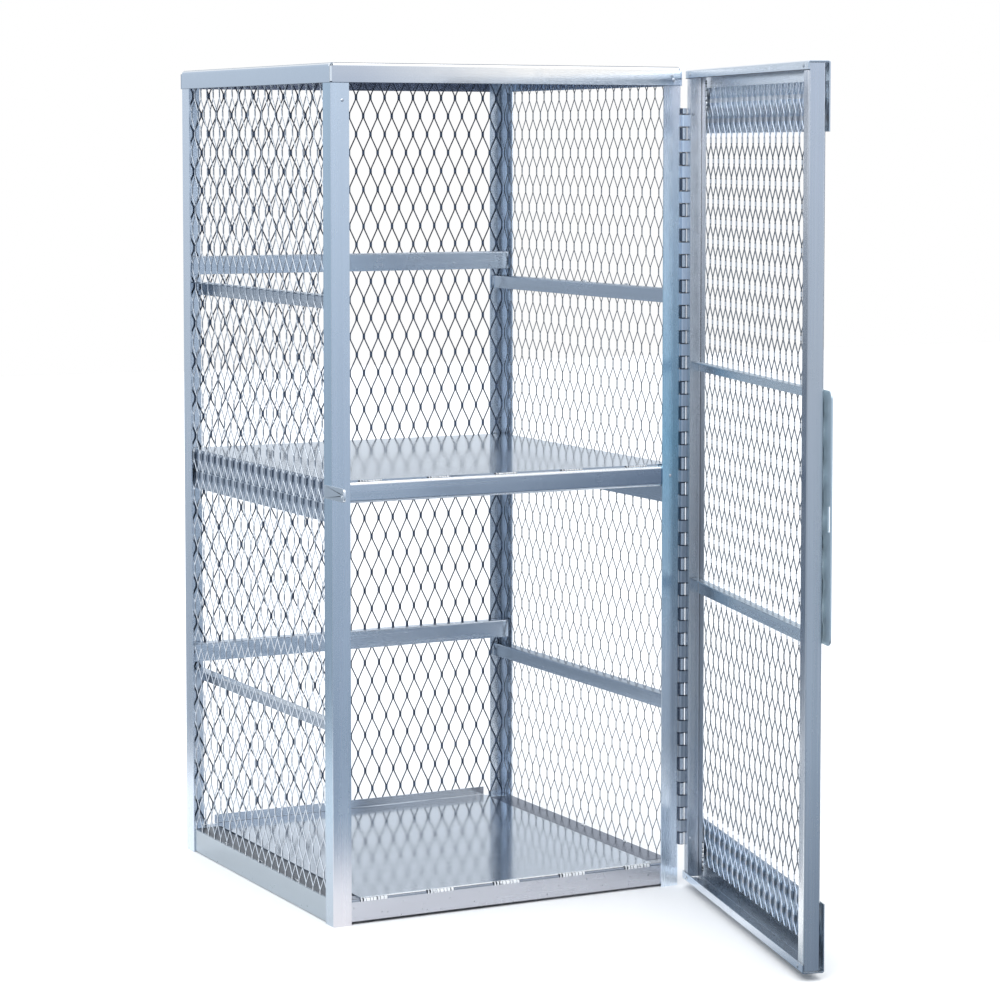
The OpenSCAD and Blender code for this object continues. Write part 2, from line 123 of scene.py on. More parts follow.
def metal(name, base, rough=0.3, door=False, along="z", streak=1.0, smudge=0.5, scuff=0.0, scratch=0.25,
          bump=0.08, dark=0.84, low=0.0, fine=900.0, painted_light=None, bands=(), joints=None):
    """Mill-finish aluminium: drawn or rolled streaks along one axis, faint hand smudges and fine scratches, and
    scuffs that gather towards the ground. painted_light is a list of heights and brightness factors, from low to high:
    painted light and shade by height, lightening or darkening the colour where the lighting and reflections fall.
    bands are painted highlights and painted shade: strips given by axis, start, end, softness, factor or colour, and a
    fade along an axis.
    joints is the height of the first dark joint line, the distance to the next, a line's height, and the range of y
    over which the lines end at the barrel."""
    m = bpy.data.materials.new(name)
    m.use_nodes = True
    t = Tree(m.node_tree)
    co = coords(t, door)
    i = "xyz".index(along)

    def stretched(k_along):
        s = [1.0, 1.0, 1.0]
        s[i] = k_along
        return tuple(s)

    broad = t.ramp(t.noise(co, 62.0, 3.0, 0.5, stretched(0.012)), 0.32, 0.68)
    lines = t.ramp(t.noise(co, 260.0, 4.0, 0.6, stretched(0.006), (3, 1, 7)), 0.3, 0.7)
    hair = t.noise(co, fine, 2.0, 0.5, stretched(0.01), (9, 4, 2))
    cloud = t.ramp(t.noise(co, 4.0, 4.0, 0.55, distort=0.5), 0.34, 0.68, kind="SMOOTHSTEP")
    prints = t.ramp(t.noise(co, 26.0, 3.0, 0.55, offset=(5, 2, 8), distort=0.3), 0.55, 0.75)
    # small dark dots and dashes, few, and mostly near the ground
    dots = t.ramp(t.noise(co, 120.0, 2.0, 0.5, offset=(2, 7, 5)), 0.70, 0.76)
    where = t.ramp(t.noise(co, 6.0, 2.0, 0.5, offset=(1, 6, 3)), 0.56, 0.70)
    marks = t.math("MULTIPLY", dots, where)
    z = t.add("ShaderNodeSeparateXYZ", {"Vector": co}).outputs[2]
    if low > 0:
        feet = t.ramp(z, low, 0.0)
        marks = t.math("ADD", t.math("MULTIPLY", marks, scuff), t.math("MULTIPLY", dots, feet), clamp=True)
    else:
        marks = t.math("MULTIPLY", marks, scuff, clamp=True)
    # thin scratches across the grain
    across = [14.0, 14.0, 14.0]
    across[i] = 620.0
    cut = t.ramp(t.noise(co, 1.0, 2.0, 0.5, tuple(across), (4, 9, 1)), 0.72, 0.76)
    cut = t.math("MULTIPLY", cut, scratch, clamp=True)

    shade = t.math("ADD", t.math("MULTIPLY", broad, 0.50 * streak), t.math("MULTIPLY", lines, 0.28 * streak))
    shade = t.math("ADD", shade, t.math("MULTIPLY", cloud, 0.40 * smudge), clamp=True)
    col = t.mix(shade, rgba(base, dark), rgba(base))
    col = t.mix(t.math("MULTIPLY", prints, 0.12 * smudge), col, rgba(base, 0.7))
    # painted light and shade by height: the colour is multiplied by brightness factors that stand in for the lighting
    # and reflections
    if painted_light:
        f = t.add("ShaderNodeValToRGB")
        ramp = f.color_ramp
        top = painted_light[-1][0]
        while len(ramp.elements) < len(painted_light):
            ramp.elements.new(0.5)
        for e, (h, k) in zip(ramp.elements, painted_light):
            e.position = h / top
            e.color = (k[0], k[1], k[2], 1.0) if isinstance(k, tuple) else (k, k, k, 1.0)
        t.link(t.math("DIVIDE", z, top, clamp=True), f.inputs[0])
        col = t.mix(1.0, col, f.outputs[0], "MULTIPLY")
    xyz = t.add("ShaderNodeSeparateXYZ", {"Vector": co})
    # painted highlights and painted shade: strips set to a colour or multiplied by a factor
    for axis, a, b, soft, kind, c, fade in bands:
        v = xyz.outputs["xyz".index(axis)]
        mask = t.math("MULTIPLY", t.ramp(v, a - soft, a + soft), t.ramp(v, b + soft, b - soft), clamp=True)
        for fa, f0, f1 in fade:
            mask = t.math("MULTIPLY", mask, t.ramp(xyz.outputs["xyz".index(fa)], f0, f1), clamp=True)
        if kind == "times":
            col = t.mix(mask, col, t.mix(1.0, col, rgba(c), "MULTIPLY"))
        else:
            col = t.mix(mask, col, rgba(c))
    if joints:
        z0, step, high, y0, y1 = joints
        turn = t.math("FRACT", t.math("DIVIDE", t.math("SUBTRACT", z, z0 - high / 2), step))
        line = t.math("MULTIPLY", t.ramp(turn, high / step, high / step * 0.7), t.ramp(xyz.outputs[1], y0, y1), clamp=True)
        col = t.mix(line, col, (0.035, 0.045, 0.07, 1))
    col = t.mix(t.math("MULTIPLY", marks, 0.8), col, (0.05, 0.055, 0.065, 1))
    col = t.mix(t.math("MULTIPLY", cut, 0.35), col, (0.85, 0.88, 0.92, 1))

    r = t.math("ADD", rough - 0.04, t.math("MULTIPLY", broad, 0.05 * streak))
    r = t.math("ADD", r, t.math("MULTIPLY", lines, 0.04 * streak))
    r = t.math("ADD", r, t.math("MULTIPLY", cloud, 0.05 * smudge))
    r = t.math("ADD", r, t.math("MULTIPLY", prints, 0.08 * smudge))
    r = t.math("ADD", r, t.math("MULTIPLY", marks, 0.3), clamp=True)

    h = t.math("ADD", t.math("MULTIPLY", lines, 0.5), t.math("MULTIPLY", hair, 0.5))
    h = t.math("ADD", h, t.math("MULTIPLY", broad, 0.4))
    h = t.math("SUBTRACT", h, t.math("MULTIPLY", cut, 0.6))
    b = t.add("ShaderNodeBump", {"Height": h, "Strength": bump, "Distance": 0.0005})
    p = t.add("ShaderNodeBsdfPrincipled", {"Base Color": col, "Metallic": 1.0, "Roughness": r, "Normal": b.outputs[0]})
    o = t.add("ShaderNodeOutputMaterial")
    t.link(p.outputs[0], o.inputs[0])
    return m


# ---------------------------------------------------------------- materials
# aluminium colours: their blue cast is partly painted light, standing in for the cool room light on the metal's own
# grey
ALU = (0.74, 0.80, 0.87)
ALU_POST = (0.74, 0.81, 0.90)
ALU_MESH = (0.52, 0.56, 0.61)
ALU_BRIGHT = (0.86, 0.89, 0.93)

# painted light by height for the posts, the stiles and the hinge stile: brightness factors, some tinted, that stand in
# for how the light and reflections fall along each part's height
POST_PAINTED_LIGHT = [(0.0, 1.10), (0.12, 1.05), (0.22, 0.90), (0.9, 1.0), (1.65, 1.12)]
LEFT_PAINTED_LIGHT = [(0.0, (1.05, 0.93, 0.87)), (0.12, (1.02, 0.94, 0.90)), (0.22, 0.90), (0.9, 1.0), (1.65, 1.12)]
RIGHT_PAINTED_LIGHT = [(0.0, 1.18), (0.12, 1.16), (0.28, 0.84), (0.45, 0.94), (0.7, (0.76, 0.94, 1.00)), (0.9, (0.56, 0.85, 0.96)),
              (1.25, (0.90, 1.03, 1.09)), (1.65, (1.07, 1.01, 1.00))]
STILE_PAINTED_LIGHT = [(0.0, (0.70, 0.69, 0.68)), (0.16, (0.78, 0.77, 0.76)), (0.4, (0.92, 0.91, 0.89)), (0.7, (0.86, 0.85, 0.83)),
              (1.1, (0.88, 0.85, 0.82)), (1.65, (0.95, 0.93, 0.94))]
HINGE_PAINTED_LIGHT = [(0.0, (0.72, 0.74, 0.76)), (0.16, (0.78, 0.80, 0.82)), (0.4, (0.80, 0.79, 0.77)), (0.7, (0.72, 0.70, 0.68)),
              (1.1, (0.96, 0.92, 0.88)), (1.45, (1.20, 1.14, 1.08)), (1.65, (1.30, 1.22, 1.16))]
SHADE = (0.70, 0.81, 0.87)         # faces that look away from the light

# the front posts are lit copies of the post metal with their own painted light by height; the front right post's
# lighter base colour is painted light, and the front left post has painted shade (SHADE) along its side faces
mat_post = metal("post_metal", ALU_POST, 0.26, along="z", streak=0.8, smudge=0.3, low=0.12, painted_light=POST_PAINTED_LIGHT)
mat_post_left = metal("post_left_metal", ALU_POST, 0.26, along="z", streak=0.8, smudge=0.3, low=0.12, painted_light=LEFT_PAINTED_LIGHT,
                      bands=[("y", 0.0022, 0.10, 0.0008, "times", SHADE, ())])
mat_post_right = metal("post_right_metal", (0.78, 0.85, 0.93), 0.26, along="z", streak=0.8, smudge=0.3, low=0.12,
                       painted_light=RIGHT_PAINTED_LIGHT)
# the roof's bands are painted light: white painted highlights along the front fold and the left end of the skirt; dark
# painted shade on the top face, along the top edges, under the skirt and in the front left corner notch; darker, bluer
# painted reflections along parts of the front and left skirt
mat_roof = metal("roof_metal", (0.98, 0.985, 0.99), 0.16, along="x", streak=0.5, smudge=0.3, scratch=0.2, dark=0.92,
                 bump=0.04, bands=[
    ("z", 1.6506, 1.6600, 0.0002, "times", (0.26, 0.28, 0.31), (("y", 0.0065, 0.0085), ("x", 0.0065, 0.0085))),
    ("y", -0.01, 0.0, 0.0003, "times", (0.68, 0.70, 0.76), (("x", 0.42, 0.06),)),
    ("y", -0.01, 0.0, 0.0003, "times", (0.62, 0.70, 0.80), (("x", 0.69, 0.75), ("z", 1.640, 1.625))),
    ("x", -0.01, -0.001, 0.0003, "times", (0.62, 0.70, 0.80), (("y", 0.0, 0.003),)),
    ("z", 1.6452, 1.6494, 0.0004, "to", (1.0, 1.0, 1.0), (("y", 0.0090, 0.0070),)),
    ("z", 1.6494, 1.6600, 0.0003, "to", (0.24, 0.26, 0.30), (("y", 0.0090, 0.0070),)),
    ("z", 1.6494, 1.6600, 0.0003, "to", (0.36, 0.40, 0.46), (("x", 0.0090, 0.0070),)),
    ("x", -0.0030, 0.0014, 0.0004, "to", (1.0, 1.0, 1.0), (("y", 0.0010, -0.0005),)),
    ("z", 1.6460, 1.6600, 0.0004, "to", (0.05, 0.06, 0.09), (("x", 0.0045, 0.0030), ("y", 0.0045, 0.0030))),
    ("z", 1.6128, 1.6156, 0.0003, "to", (0.05, 0.06, 0.09), (("x", 0.0030, 0.0020), ("y", 0.0010, -0.0005))),
    ("z", 1.6120, 1.6140, 0.0003, "to", (0.10, 0.12, 0.16), (("y", 0.0010, -0.0005),)),
    ("z", 1.6120, 1.6136, 0.0003, "to", (0.16, 0.18, 0.22), (("x", 0.0010, -0.0005),)),
    ("y", 0.7605, 0.7630, 0.0003, "to", (0.34, 0.36, 0.44), (("z", 1.6480, 1.6470),)),
    ("x", 0.7605, 0.7630, 0.0003, "to", (0.60, 0.70, 0.84), (("z", 1.6480, 1.6470),))])
# painted highlight: the front edge strip of the floor and shelf sheets is set near white
mat_sheet = metal("sheet_metal", (0.70, 0.75, 0.82), 0.13, along="x", streak=0.6, smudge=0.5, scratch=0.4, bump=0.04,
                  bands=[("y", 0.0, 0.0070, 0.0004, "to", (0.95, 0.96, 0.97), ())])
mat_rail_x = metal("rail_metal_x", (0.66, 0.73, 0.82), 0.24, along="x", streak=1.0, smudge=0.5, scratch=0.5, low=0.05)
# painted light on the shelf front: its face darkens towards the right as painted shade, and its top fold and the right
# part of its bottom fold get white painted highlights
mat_shelf_front = metal("shelf_front_metal", (0.66, 0.72, 0.80), 0.24, along="x", streak=1.0, smudge=0.5, scratch=0.5,
                        bands=[("y", 0.0, 0.004, 0.0005, "times", (0.46, 0.50, 0.56), (("x", 0.15, 0.72),)),
                               ("z", 0.8497, 0.8542, 0.0006, "to", (1.0, 1.0, 1.0), ()),
                               ("z", 0.8135, 0.8160, 0.0006, "to", (0.9, 0.93, 0.96), (("x", 0.30, 0.60),))])
# painted shade on the front base rail: a near-black painted shadow along its bottom edge that fades out to the right,
# and a darker painted shade strip along its top
mat_front = metal("front_metal", (0.59, 0.60, 0.65), 0.24, along="x", streak=1.0, smudge=0.5, scratch=0.5, low=0.05,
                  bands=[("z", -0.01, 0.0058, 0.0006, "to", (0.02, 0.025, 0.04), (("x", 0.72, 0.30),)),
                         ("z", 0.0440, 0.0490, 0.0008, "to", (0.30, 0.33, 0.38), ())])
mat_rail_y = metal("rail_metal_y", ALU, 0.24, along="y", streak=0.8, smudge=0.4, scratch=0.4)
# painted shadow: a near-black band on the inner top face of the left base rail, where it lies in shade
mat_base_left = metal("base_left_metal", (0.44, 0.50, 0.55), 0.24, along="y", streak=0.8, smudge=0.4, scratch=0.4,
                      low=0.03, bands=[("z", 0.0484, 0.0600, 0.0002, "to", (0.035, 0.045, 0.065), (("x", 0.0060, 0.0075),))])
# shaded copies of the rail metal: the right base rail and the right side rails are darkened as painted shade, for inner
# faces seen in shade
mat_base_right_shaded = metal("base_right_shaded_metal", (0.20, 0.22, 0.28), 0.24, along="y", streak=0.8, smudge=0.4, scratch=0.4)
mat_rail_right_shaded = metal("rail_right_shaded_metal", (0.52, 0.60, 0.70), 0.24, along="y", streak=0.8, smudge=0.4, scratch=0.4)
mat_rail_low_shaded = metal("rail_low_shaded_metal", (0.40, 0.48, 0.58), 0.24, along="y", streak=0.8, smudge=0.4, scratch=0.4)
# painted light on the latch stile: painted light by height, a bright painted highlight along its outer edge, painted
# shade over the middle of its inner part, and white painted highlights low down and near the top
mat_stile = metal("stile_metal", (0.78, 0.82, 0.88), 0.24, door=True, along="z", streak=1.2, smudge=0.4, scratch=0.3,
                  painted_light=STILE_PAINTED_LIGHT,
                  bands=[("y", -0.0400, -0.0380, 0.0002, "to", (0.88, 0.96, 1.0), ()),
                         ("z", 0.50, 1.22, 0.16, "times", (0.30, 0.37, 0.46), (("y", -0.0072, -0.0066),)),
                         ("z", -0.10, 0.26, 0.10, "to", (0.98, 1.0, 1.0), (("y", -0.0088, -0.0072),)),
                         ("z", 1.36, 1.80, 0.12, "to", (1.0, 0.99, 1.0), (("y", -0.0088, -0.0072), ("x", 0.0200, 0.0180)))])
# painted light on the hinge stile: painted light by height, and a white painted highlight strip along its edge
mat_stile_hinge = metal("stile_hinge_metal", (0.78, 0.82, 0.88), 0.24, door=True, along="z", streak=1.2, smudge=0.4,
                        scratch=0.3, painted_light=HINGE_PAINTED_LIGHT,
                        bands=[("x", 0.7560, 0.7640, 0.0005, "to", (1.0, 1.0, 1.0), (("y", -0.0100, -0.0085),))])
# painted light on the end caps: the bottom cap is darkened by height as painted shade; white painted highlights on the
# top cap's fold, the end of its outer leg and the bottom cap's lip; painted shade lower on that leg end and on the
# bottom cap's leg end; and a near-black painted shadow line under the top cap's lip
mat_cap = metal("cap_metal", ALU, 0.24, door=True, along="x", streak=0.8, smudge=0.5, scuff=0.3, scratch=0.4,
                painted_light=[(0.0, 0.55), (0.16, 0.55), (1.5, 1.0), (1.65, 1.0)],
                bands=[("y", -0.0437, -0.0425, 0.0003, "to", (0.93, 0.96, 1.0), (("z", 1.50, 1.51),)),
                       ("y", -0.0437, -0.0425, 0.0003, "times", (0.68, 0.69, 0.71), (("z", 1.50, 1.51), ("z", 1.573, 1.565))),
                       ("y", -0.0437, -0.0425, 0.0003, "to", (0.42, 0.48, 0.55), (("z", 0.16, 0.15),)),
                       ("y", -0.0045, -0.0035, 0.0003, "to", (0.80, 0.86, 0.93), (("z", 0.10, 0.05),)),
                       ("z", 1.6425, 1.6445, 0.0004, "to", (1.0, 1.0, 1.0), (("y", -0.0070, -0.0060),)),
                       ("z", 1.6250, 1.6285, 0.0003, "to", (0.05, 0.06, 0.09), (("y", -0.0080, -0.0070),))])
mat_rail_door = metal("door_rail_metal", (0.62, 0.72, 0.81), 0.26, door=True, along="x", streak=0.8, smudge=0.4)
# painted light by height: the latch plate is slightly darker towards the bottom
mat_plate = metal("plate_metal", (0.82, 0.94, 1.0), 0.44, door=True, along="z", streak=0.5, smudge=0.2,
                  painted_light=[(0.0, 0.92), (0.6, 0.92), (1.07, 1.0), (1.65, 1.0)])
# painted highlight: the strap's cut tip is set near white
mat_strap = metal("strap_metal", (0.62, 0.69, 0.76), 0.32, along="y", streak=0.6, smudge=0.5, scuff=0.5,
                  bands=[("y", -0.0660, -0.0605, 0.0006, "to", (0.95, 0.97, 1.0), ())])
# painted shade: a dark strip along the post leaf next to the barrel
mat_hinge = metal("hinge_metal", (0.72, 0.77, 0.84), 0.24, along="z", streak=0.8, smudge=0.5, scuff=0.3,
                  joints=(0.084, 0.0254, 0.0030, 0.0052, 0.0045),
                  bands=[("x", 0.7600, 0.7637, 0.0004, "to", (0.12, 0.14, 0.18), ())])
# painted light by height: a dark copy of the hinge metal, as painted shade low down, brightened strongly towards the
# top as painted light
mat_hinge_door = metal("hinge_door_metal", (0.38, 0.43, 0.50), 0.30, door=True, along="z", streak=0.8, smudge=0.5,
                       scuff=0.3, joints=(0.084, 0.0254, 0.0030, -0.0092, -0.0085), painted_light=[(0.0, 0.9), (0.7, 1.0), (1.2, 1.7), (1.65, 2.1)])
mat_pin = metal("pin_metal", (0.50, 0.52, 0.55), 0.3, along="z", streak=0.6, smudge=0.6, scuff=0.3)
mat_rivet = metal("rivet_metal", (0.70, 0.74, 0.80), 0.28, along="z", streak=0.3, smudge=0.5)
mat_rivet_door = metal("rivet_door_metal", (0.70, 0.74, 0.80), 0.28, door=True, along="z", streak=0.3, smudge=0.5)


def strand_metal(name, base, door=False, ends=None):
    """A strand's metal; ends is a painted-light factor that brightens the strands in front of the door's end caps."""
    painted_light = [(0.0, ends), (0.135, ends), (0.155, 1.0), (1.50, 1.0), (1.515, ends), (1.65, ends)] if ends else None
    return metal(name, base, 0.32, door=door, along="z", streak=0.7, smudge=0.5, scratch=0.2, bump=0.2, fine=1600.0,
                 painted_light=painted_light)


# per panel: faces towards the viewer's side, sheared edges on that side, the other side, and the bonds;
# these are lit and shaded copies of one strand metal: painted shade on the sides that face away from the light,
# painted highlights on the left and door bonds, and painted shade on the right and rear bonds
MESH_LEFT = [strand_metal("mesh_left_face", (0.80, 0.84, 0.89)), strand_metal("mesh_left_edge", (0.72, 0.77, 0.83)),
             strand_metal("mesh_left_inside", (0.45, 0.49, 0.55)), strand_metal("mesh_left_bond", (0.92, 0.94, 0.97))]
MESH_RIGHT = [strand_metal("mesh_right_face", (0.055, 0.06, 0.075)), strand_metal("mesh_right_edge", (0.05, 0.055, 0.07)),
              strand_metal("mesh_right_outside", (0.60, 0.65, 0.71)), strand_metal("mesh_right_bond", (0.08, 0.09, 0.11))]
MESH_REAR = [strand_metal("mesh_rear_face", (0.06, 0.075, 0.105)), strand_metal("mesh_rear_edge", (0.06, 0.075, 0.105)),
             strand_metal("mesh_rear_outside", (0.60, 0.65, 0.71)), strand_metal("mesh_rear_bond", (0.12, 0.155, 0.22))]
MESH_DOOR = [strand_metal("mesh_door_face", (0.62, 0.67, 0.73), True, 1.5),
             strand_metal("mesh_door_edge", (0.16, 0.175, 0.20), True, 5.6),
             strand_metal("mesh_door_outside", (0.30, 0.335, 0.38), True, 3.0),
             strand_metal("mesh_door_bond", (0.97, 0.98, 1.0), True)]


def weld_metal(name, soot_and_shade=False):
    """Bright rippled bead, or the near-black version for its crater soot and for the painted shade on the dark flank of
    each ripple.
    """
    m = bpy.data.materials.new(name)
    m.use_nodes = True
    t = Tree(m.node_tree)
    co = t.add("ShaderNodeTexCoord").outputs["Object"]
    soot_and_shade_mask = t.ramp(t.noise(co, 90.0, 4.0, 0.6, distort=0.5), 0.28 if soot_and_shade else 0.56, 0.42 if soot_and_shade else 0.70)
    grain = t.noise(co, 900.0, 3.0, 0.6)
    col = t.mix(soot_and_shade_mask, (0.96, 0.97, 0.98, 1), (0.04, 0.045, 0.06, 1) if soot_and_shade else (0.30, 0.31, 0.33, 1))
    col = t.mix(t.math("MULTIPLY", grain, 0.10 if soot_and_shade else 0.25), col, (0.6, 0.63, 0.67, 1))
    r = t.math("ADD", 0.28, t.math("MULTIPLY", soot_and_shade_mask, 0.30))
    b = t.add("ShaderNodeBump", {"Height": grain, "Strength": 0.25, "Distance": 0.0003})
    p = t.add("ShaderNodeBsdfPrincipled", {"Base Color": col, "Metallic": 1.0, "Roughness": r, "Normal": b.outputs[0]})
    o = t.add("ShaderNodeOutputMaterial")
    t.link(p.outputs[0], o.inputs[0])
    return m


mat_weld = weld_metal("weld_metal")
# near-black weld material: soot at the craters, and painted shade on the dark flank of each ripple
mat_weld_soot_and_shade = weld_metal("weld_soot_and_shade", True)

LOOK = {
    "post_front_left": mat_post_left, "post_front_right": mat_post_right, "post_rear_left": mat_post, "post_rear_right": mat_post,
    "roof_pan": mat_roof, "roof_rivets": mat_rivet,
    "base_rail_front": mat_front, "base_rail_rear": mat_rail_x, "base_rail_left": mat_base_left,
    "base_rail_right": mat_base_right_shaded, "floor_pan": mat_sheet,
    "low_rail_left": mat_rail_y, "low_rail_right": mat_rail_low_shaded, "low_rail_rear": mat_rail_x,
    "high_rail_left": mat_rail_y, "high_rail_right": mat_rail_right_shaded, "high_rail_rear": mat_rail_x,
    "shelf_rail_left": mat_rail_y, "shelf_rail_right": mat_rail_low_shaded, "shelf_front": mat_shelf_front,
    "shelf_pan": mat_sheet, "shelf_rivets": mat_rivet,
    "latch_strap": mat_strap, "hinge_leaf_post": mat_hinge, "hinge_pin": mat_pin,
    "hinge_leaf_door": mat_hinge_door, "door_cap_top": mat_cap, "door_cap_bottom": mat_cap,
    "door_stile_hinge": mat_stile_hinge, "door_stile_latch": mat_stile,
    "door_rail_lower": mat_rail_door, "door_rail_upper": mat_rail_door, "door_rivets": mat_rivet_door, "latch_plate": mat_plate,
    "floor_welds": mat_weld, "shelf_welds": mat_weld, "mesh_tacks": mat_weld, "door_welds": mat_weld,
    "mesh_left": MESH_LEFT[0], "mesh_right": MESH_RIGHT[2], "mesh_rear": MESH_REAR[2], "door_mesh": MESH_DOOR[0],
}
for node, mat in LOOK.items():
    for s in NODES[node].material_slots:
        s.material = mat

# broken edges on the sawn and folded pieces
EDGE = {"post_": 0.5, "roof_pan": 0.35, "base_rail": 0.45, "floor_pan": 0.4, "low_rail": 0.4, "high_rail": 0.4,
        "shelf_rail": 0.4, "shelf_front": 0.45, "shelf_pan": 0.4, "latch_strap": 0.7, "door_cap": 0.4,
        "door_stile": 0.35, "door_rail": 0.35, "latch_plate": 0.6}
for node, o in NODES.items():
    w = next((v for k, v in EDGE.items() if node.startswith(k)), None)
    if w is None:
        continue
    weld = o.modifiers.new("weld", "WELD")
    weld.merge_threshold = 1e-6
    bev = o.modifiers.new("bevel", "BEVEL")
    bev.width = w * MM
    bev.segments = 2
    bev.limit_method = "ANGLE"
    bev.angle_limit = math.radians(50)
    wn = o.modifiers.new("weighted", "WEIGHTED_NORMAL")
    wn.keep_sharp = False


# ---------------------------------------------------------------- mesh helpers
def to_row(door):
    """Matrix from closed-door or cabinet millimetres to the row frame in metres."""
    s = Matrix.Scale(MM, 4)
    if not door:
        return s
    h = Matrix.Translation(HINGE)
    return s @ h @ Matrix.Rotation(math.radians(SWING), 4, "Z") @ h.inverted()


def make(name, verts, faces, mats, index=None, door=False, smooth=False):
    me = bpy.data.meshes.new(name)
    m = to_row(door)
    me.from_pydata([m @ Vector(v) for v in verts], [], faces)
    for x in mats:
        me.materials.append(x)
    if index:
        me.polygons.foreach_set("material_index", index)
    me.polygons.foreach_set("use_smooth", [smooth] * len(me.polygons))
    me.update()
    o = bpy.data.objects.new(name, me)
    scene.collection.objects.link(o)
    return o


# ---------------------------------------------------------------- expanded mesh
PITCH, LONG = 34.0, 79.4          # short and long pitch of the diamonds
WIDE, THICK = 2.7, 1.6            # a strand's width and the sheet's thickness
DEPTH = 4.8                       # overall thickness of the raised mesh
TILT = math.radians(41.0)


def expanded(name, place, w, h, first, mats, tilt=1, door=False, cut=0.0):
    """Raised expanded mesh: zigzag strands with tilted sections, two side by side in each bond.
    place(u, v, n) puts a point across, up and out of the panel; first is the height of a bond row, and cut is how
    much the panel's far side stands back."""
    c, s = math.cos(TILT), math.sin(TILT) * tilt
    half, th = WIDE / 2, THICK / 2
    ch = 0.22
    section = [(-half - 0.02, -th + ch), (-half - 0.02 + ch, -th), (half + 0.02 - ch, -th), (half + 0.02, -th + ch),
               (half + 0.02, th - ch), (half + 0.02 - ch, th), (-half - 0.02 + ch, th), (-half - 0.02, th - ch)]
    kinds = [2, 2, 2, 1, 1, 0, 0, 2]   # materials per section edge, for a section that leans with tilt = 1
    # the flat bond parts take the bond copy: a painted highlight or painted shade, by panel
    bonds = {0: 2, 1: 3, 2: 3, 3: 3, 4: 3, 5: 3, 6: 3, 7: 2} if door else {3: 3, 4: 3, 5: 3, 6: 3}
    stops = [(4.2, 0.0), (7.4, 0.06), (LONG / 2 - 7.4, 0.94), (LONG / 2 - 4.2, 1.0)]
    margin = (w - 20 * PITCH) / 2
    verts, faces, index = [], [], []
    for k in range(-2, 42):
        a = margin + k * PITCH / 2            # bond column on the left, bond column on the right
        b = a + PITCH / 2
        ua, na = a + half * c, half * s
        ub, nb = b - half * c, -half * s
        if ua > w - cut - 2.2:
            continue
        # heights of the left column's bonds, and the strands up and down from them
        base = first + (LONG / 2 if k % 2 else 0.0)
        rings = []
        row = math.floor((0 - base) / LONG) - 1
        while base + row * LONG < h + LONG:
            v0 = base + row * LONG
            for q, f in stops:
                rings.append((v0 + q, f))
            v1 = v0 + LONG / 2
            for q, f in stops:
                rings.append((v1 + q, 1 - f))
            row += 1
        cutr = []
        for (v0, f0), (v1, f1) in zip(rings, rings[1:]):
            if v1 < 0 or v0 > h:
                continue
            for v in (v0, v1):
                vv = min(max(v, 0.0), h)
                f = f0 + (f1 - f0) * (vv - v0) / (v1 - v0)
                if not cutr or vv > cutr[-1][0] + 1e-6:
                    cutr.append((vv, f))
        start = len(verts)
        for v, f in cutr:
            u = ua + (ub - ua) * f
            n = na + (nb - na) * f
            grow = 1.0 + 0.10 * (1 - abs(2 * f - 1))
            u = min(max(u, 2.2), w - cut - 2.2)
            for p, q in section:
                p *= grow
                verts.append(place(u + p * c - q * s, v, DEPTH / 2 + n + p * s + q * c))
        m = len(cutr)
        for r in range(m - 1):
            for e in range(8):
                e2 = (e + 1) % 8
                i0, i1 = start + r * 8 + e, start + r * 8 + e2
                faces.append((i0, i1, i1 + 8, i0 + 8))
                flat = cutr[r][1] == cutr[r + 1][1]
                index.append(bonds.get(e, kinds[e]) if flat else kinds[e])
        faces.append(tuple(start + e for e in range(7, -1, -1)))
        faces.append(tuple(start + (m - 1) * 8 + e for e in range(8)))
        index += [1, 1]
    return make(name, verts, faces, mats, index, door)


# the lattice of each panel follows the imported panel's holes
SIDE_W, SIDE_H = 746.0, 1591.0
DOOR_W, DOOR_H = 744.8, 1560.0
side_first = (SIDE_H - 19 * LONG) / 2 + LONG / 2
door_first = (DOOR_H - 19 * LONG) / 2 + LONG / 2
left = expanded("expanded_left", lambda u, v, n: (7.8 - n, 754.0 - u, 49.0 + v), SIDE_W, SIDE_H, side_first,
                MESH_LEFT)
right = expanded("expanded_right", lambda u, v, n: (759.0 - n, 754.0 - u, 49.0 + v), SIDE_W, SIDE_H, side_first,
                 MESH_RIGHT)
rear = expanded("expanded_rear", lambda u, v, n: (8.0 + u, 759.0 - n, 49.0 + v), SIDE_W, SIDE_H, side_first,
                MESH_REAR)
leaf = expanded("expanded_door", lambda u, v, n: (759.0 - u, -43.3 + n, 49.0 + v), DOOR_W, DOOR_H, door_first,
                MESH_DOOR, door=True, cut=14.5)
for o, node, body in ((left, "mesh_left", "cabinet"), (right, "mesh_right", "cabinet"), (rear, "mesh_rear", "cabinet"),
                      (leaf, "door_mesh", "door")):
    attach(o, body)
    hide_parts(node)


